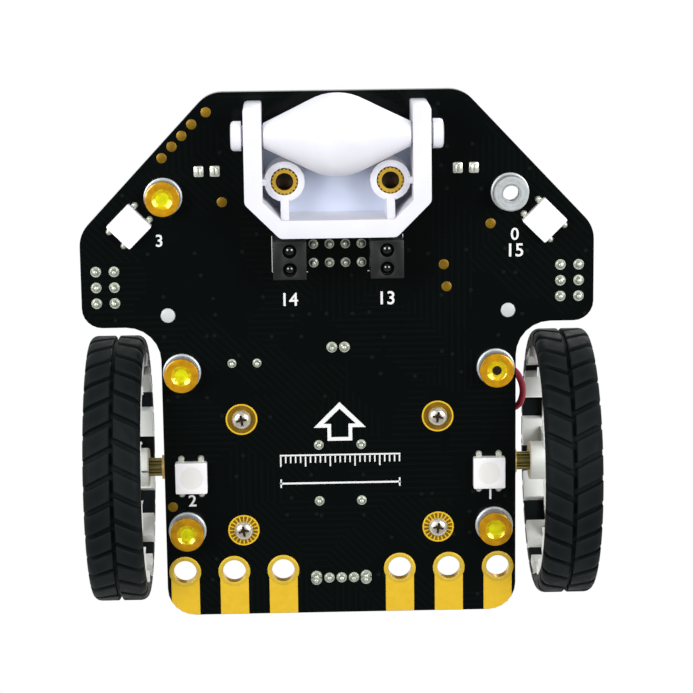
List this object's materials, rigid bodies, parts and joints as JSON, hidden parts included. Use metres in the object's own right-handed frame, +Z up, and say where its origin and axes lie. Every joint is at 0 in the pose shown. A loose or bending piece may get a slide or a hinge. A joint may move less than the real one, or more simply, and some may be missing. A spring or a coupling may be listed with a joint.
{
  "type": "line follower robot",
  "caption": "Small two-wheel line follower robot on a black circuit board chassis, with geared motors, a front roller, line sensors, a battery box and a range finder.",
  "frame": {"origin": "on the floor, under the middle of the circuit board", "axes": "+Z up; the robot drives towards -Y, so its roller is at -Y and its wheels at +Y; +X is its left-hand side; the wheels' axle is along X"},
  "size_m": [0.0818, 0.0859, 0.044],
  "materials": {
    "circuit_board": "glossy black solder mask on glass fibre board",
    "nickel": "tin plated",
    "motor_steel": "plated steel",
    "brass": "bright turned brass",
    "white_plastic": "moulded white plastic",
    "screw_steel": "zinc plated",
    "sensor_plastic": "moulded dark grey",
    "eye_metal": "satin aluminium can",
    "tyre_rubber": "black rubber",
    "shaft_steel": "ground steel",
    "led_white": "white moulded",
    "black_plastic": "moulded black",
    "module_board": "blue solder mask",
    "cell_wrap": "printed sleeve, plain",
    "red_insulation": "red wire insulation",
    "black_insulation": "black wire insulation",
    "roller_plastic": "smooth white plastic"
  },
  "bodies": {
    "chassis": {"main_board": "circuit_board", "threaded_spacer_front_left": "nickel", "threaded_spacer_middle_left": "nickel", "threaded_spacer_rear_left": "nickel", "left_motor_can": "motor_steel", "left_gearbox_frame": "brass", "left_motor_bracket": "white_plastic", "left_front_bracket_screw": "screw_steel", "left_front_bracket_nut": "screw_steel", "left_rear_bracket_screw": "screw_steel", "left_rear_bracket_nut": "screw_steel", "left_caster_insert": "brass", "left_caster_screw": "screw_steel", "left_line_sensor": "sensor_plastic", "left_range_finder_eye": "eye_metal", "threaded_spacer_front_right": "nickel", "threaded_spacer_middle_right": "nickel", "threaded_spacer_rear_right": "nickel", "right_motor_can": "motor_steel", "right_gearbox_frame": "brass", "right_motor_bracket": "white_plastic", "right_front_bracket_screw": "screw_steel", "right_front_bracket_nut": "screw_steel", "right_rear_bracket_screw": "screw_steel", "right_rear_bracket_nut": "screw_steel", "right_caster_insert": "brass", "right_caster_screw": "screw_steel", "right_line_sensor": "sensor_plastic", "right_range_finder_eye": "eye_metal", "front_left_colour_led": "led_white", "front_right_colour_led": "led_white", "rear_left_colour_led": "led_white", "rear_right_colour_led": "led_white", "caster_bracket": "white_plastic", "edge_connector": "black_plastic", "range_finder_board": "module_board", "battery_box": "black_plastic", "battery_cell_1": "cell_wrap", "battery_cell_2": "cell_wrap", "battery_cell_3": "cell_wrap", "power_switch_body": "screw_steel", "battery_socket": "white_plastic", "red_battery_lead": "red_insulation", "black_battery_lead": "black_insulation"},
    "left_wheel": {"left_wheel_hub": "white_plastic", "left_tyre": "tyre_rubber", "left_output_shaft": "shaft_steel"},
    "left_third_gear": {"left_third_gear": "brass"},
    "left_second_gear": {"left_second_gear": "brass"},
    "left_first_gear": {"left_first_gear": "brass"},
    "left_motor_pinion": {"left_motor_pinion": "brass"},
    "right_wheel": {"right_wheel_hub": "white_plastic", "right_tyre": "tyre_rubber", "right_output_shaft": "shaft_steel"},
    "right_third_gear": {"right_third_gear": "brass"},
    "right_second_gear": {"right_second_gear": "brass"},
    "right_first_gear": {"right_first_gear": "brass"},
    "right_motor_pinion": {"right_motor_pinion": "brass"},
    "roller": {"caster_roller": "roller_plastic"},
    "switch_lever": {"power_switch_lever": "black_plastic"}
  },
  "joints": [
    {"name": "left_wheel_spin", "type": "hinge", "parent": "chassis", "child": "left_wheel", "pos_m": [0.0362, 0.0192, 0.0217], "axis": [1, 0, 0], "continuous": true},
    {"name": "left_third_gear_spin", "type": "hinge", "parent": "chassis", "child": "left_third_gear", "pos_m": [0.0234, 0.02226, 0.0217], "axis": [1, 0, 0], "continuous": true},
    {"name": "left_second_gear_spin", "type": "hinge", "parent": "chassis", "child": "left_second_gear", "pos_m": [0.0234, 0.0192, 0.0217], "axis": [1, 0, 0], "continuous": true},
    {"name": "left_first_gear_spin", "type": "hinge", "parent": "chassis", "child": "left_first_gear", "pos_m": [0.0234, 0.01614, 0.0217], "axis": [1, 0, 0], "continuous": true},
    {"name": "left_motor_pinion_spin", "type": "hinge", "parent": "chassis", "child": "left_motor_pinion", "pos_m": [0.0234, 0.0192, 0.0217], "axis": [1, 0, 0], "continuous": true},
    {"name": "right_wheel_spin", "type": "hinge", "parent": "chassis", "child": "right_wheel", "pos_m": [-0.0362, 0.0192, 0.0217], "axis": [1, 0, 0], "continuous": true},
    {"name": "right_third_gear_spin", "type": "hinge", "parent": "chassis", "child": "right_third_gear", "pos_m": [-0.0234, 0.02226, 0.0217], "axis": [1, 0, 0], "continuous": true},
    {"name": "right_second_gear_spin", "type": "hinge", "parent": "chassis", "child": "right_second_gear", "pos_m": [-0.0234, 0.0192, 0.0217], "axis": [1, 0, 0], "continuous": true},
    {"name": "right_first_gear_spin", "type": "hinge", "parent": "chassis", "child": "right_first_gear", "pos_m": [-0.0234, 0.01614, 0.0217], "axis": [1, 0, 0], "continuous": true},
    {"name": "right_motor_pinion_spin", "type": "hinge", "parent": "chassis", "child": "right_motor_pinion", "pos_m": [-0.0234, 0.0192, 0.0217], "axis": [1, 0, 0], "continuous": true},
    {"name": "roller_spin", "type": "hinge", "parent": "chassis", "child": "roller", "pos_m": [0, -0.03695, 0.00645], "axis": [1, 0, 0], "continuous": true},
    {"name": "power_switch_slide", "type": "slide", "parent": "chassis", "child": "switch_lever", "axis": [1, 0, 0], "range_m": [0, 0.002]}
  ],
  "couplings": [
    {"joint": "left_third_gear_spin", "follows": "left_wheel_spin", "ratio": -3.5},
    {"joint": "left_second_gear_spin", "follows": "left_wheel_spin", "ratio": 12.25},
    {"joint": "left_first_gear_spin", "follows": "left_wheel_spin", "ratio": -42.875},
    {"joint": "left_motor_pinion_spin", "follows": "left_wheel_spin", "ratio": 150.06},
    {"joint": "right_third_gear_spin", "follows": "right_wheel_spin", "ratio": -3.5},
    {"joint": "right_second_gear_spin", "follows": "right_wheel_spin", "ratio": 12.25},
    {"joint": "right_first_gear_spin", "follows": "right_wheel_spin", "ratio": -42.875},
    {"joint": "right_motor_pinion_spin", "follows": "right_wheel_spin", "ratio": 150.06}
  ]
}
